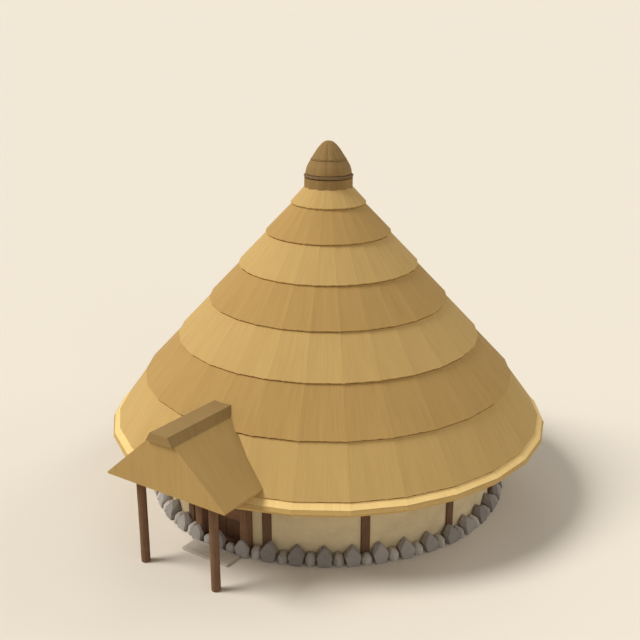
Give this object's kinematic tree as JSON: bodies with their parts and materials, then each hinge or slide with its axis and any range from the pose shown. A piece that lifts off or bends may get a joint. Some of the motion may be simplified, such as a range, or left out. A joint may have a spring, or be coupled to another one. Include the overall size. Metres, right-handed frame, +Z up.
{
  "type": "celtic roundhouse",
  "caption": "Round daub-walled house with a tall stepped thatch cone, a straw cap, a gabled thatched porch on two posts and a plank door that swings inward.",
  "frame": {"origin": "centre of the base of the box round the whole building, at ground level; the cone's axis stands at x = 0, y = 0.345 m", "axes": "+Z up, the door and the porch face -Y, +X is to the right of someone looking at the door from outside"},
  "size_m": [10.076, 10.766, 8.04],
  "materials": {
    "thatch_light": "dry straw",
    "thatch_dark": "weathered straw",
    "old_straw": "old straw",
    "rope": "straw rope",
    "daub": "matt clay daub",
    "dark_timber": "rough hewn",
    "pale_timber": "rough hewn",
    "fieldstone": "rough",
    "slab": "rough"
  },
  "bodies": {
    "house": {"wall_plate": "dark_timber", "wall_posts": "dark_timber", "daub_right": "daub", "daub_back": "daub", "daub_left": "daub", "daub_door_sides": "daub", "daub_over_door": "daub", "door_jambs": "dark_timber", "door_lintel": "dark_timber", "door_sill": "dark_timber", "crown_hub": "pale_timber", "rafters": "pale_timber", "battens": "pale_timber", "thatch_course_1": "thatch_light", "thatch_course_2": "thatch_dark", "thatch_course_3": "thatch_light", "thatch_course_4": "thatch_dark", "thatch_course_5": "thatch_light", "thatch_course_6": "thatch_dark", "thatch_course_7": "thatch_light", "eave_ring": "thatch_light", "eave_band": "thatch_dark", "straw_cap": "old_straw", "cap_binding": "rope", "cap_tie": "old_straw", "porch_posts": "dark_timber", "porch_beams": "dark_timber", "porch_plates": "dark_timber", "porch_ridge_pole": "pale_timber", "porch_rafters": "pale_timber", "porch_thatch": "thatch_light", "porch_ridge_cap": "old_straw", "stones_large": "fieldstone", "stones_small": "fieldstone", "threshold_slab": "slab"},
    "door": {"door_planks": "dark_timber", "door_ledges": "pale_timber", "door_harr": "dark_timber"}
  },
  "joints": [
    {"name": "door_hinge", "type": "hinge", "parent": "house", "child": "door", "pos_m": [-0.446, -3.459, 0.1], "axis": [0, 0, 1], "range_deg": [0, 95]}
  ]
}
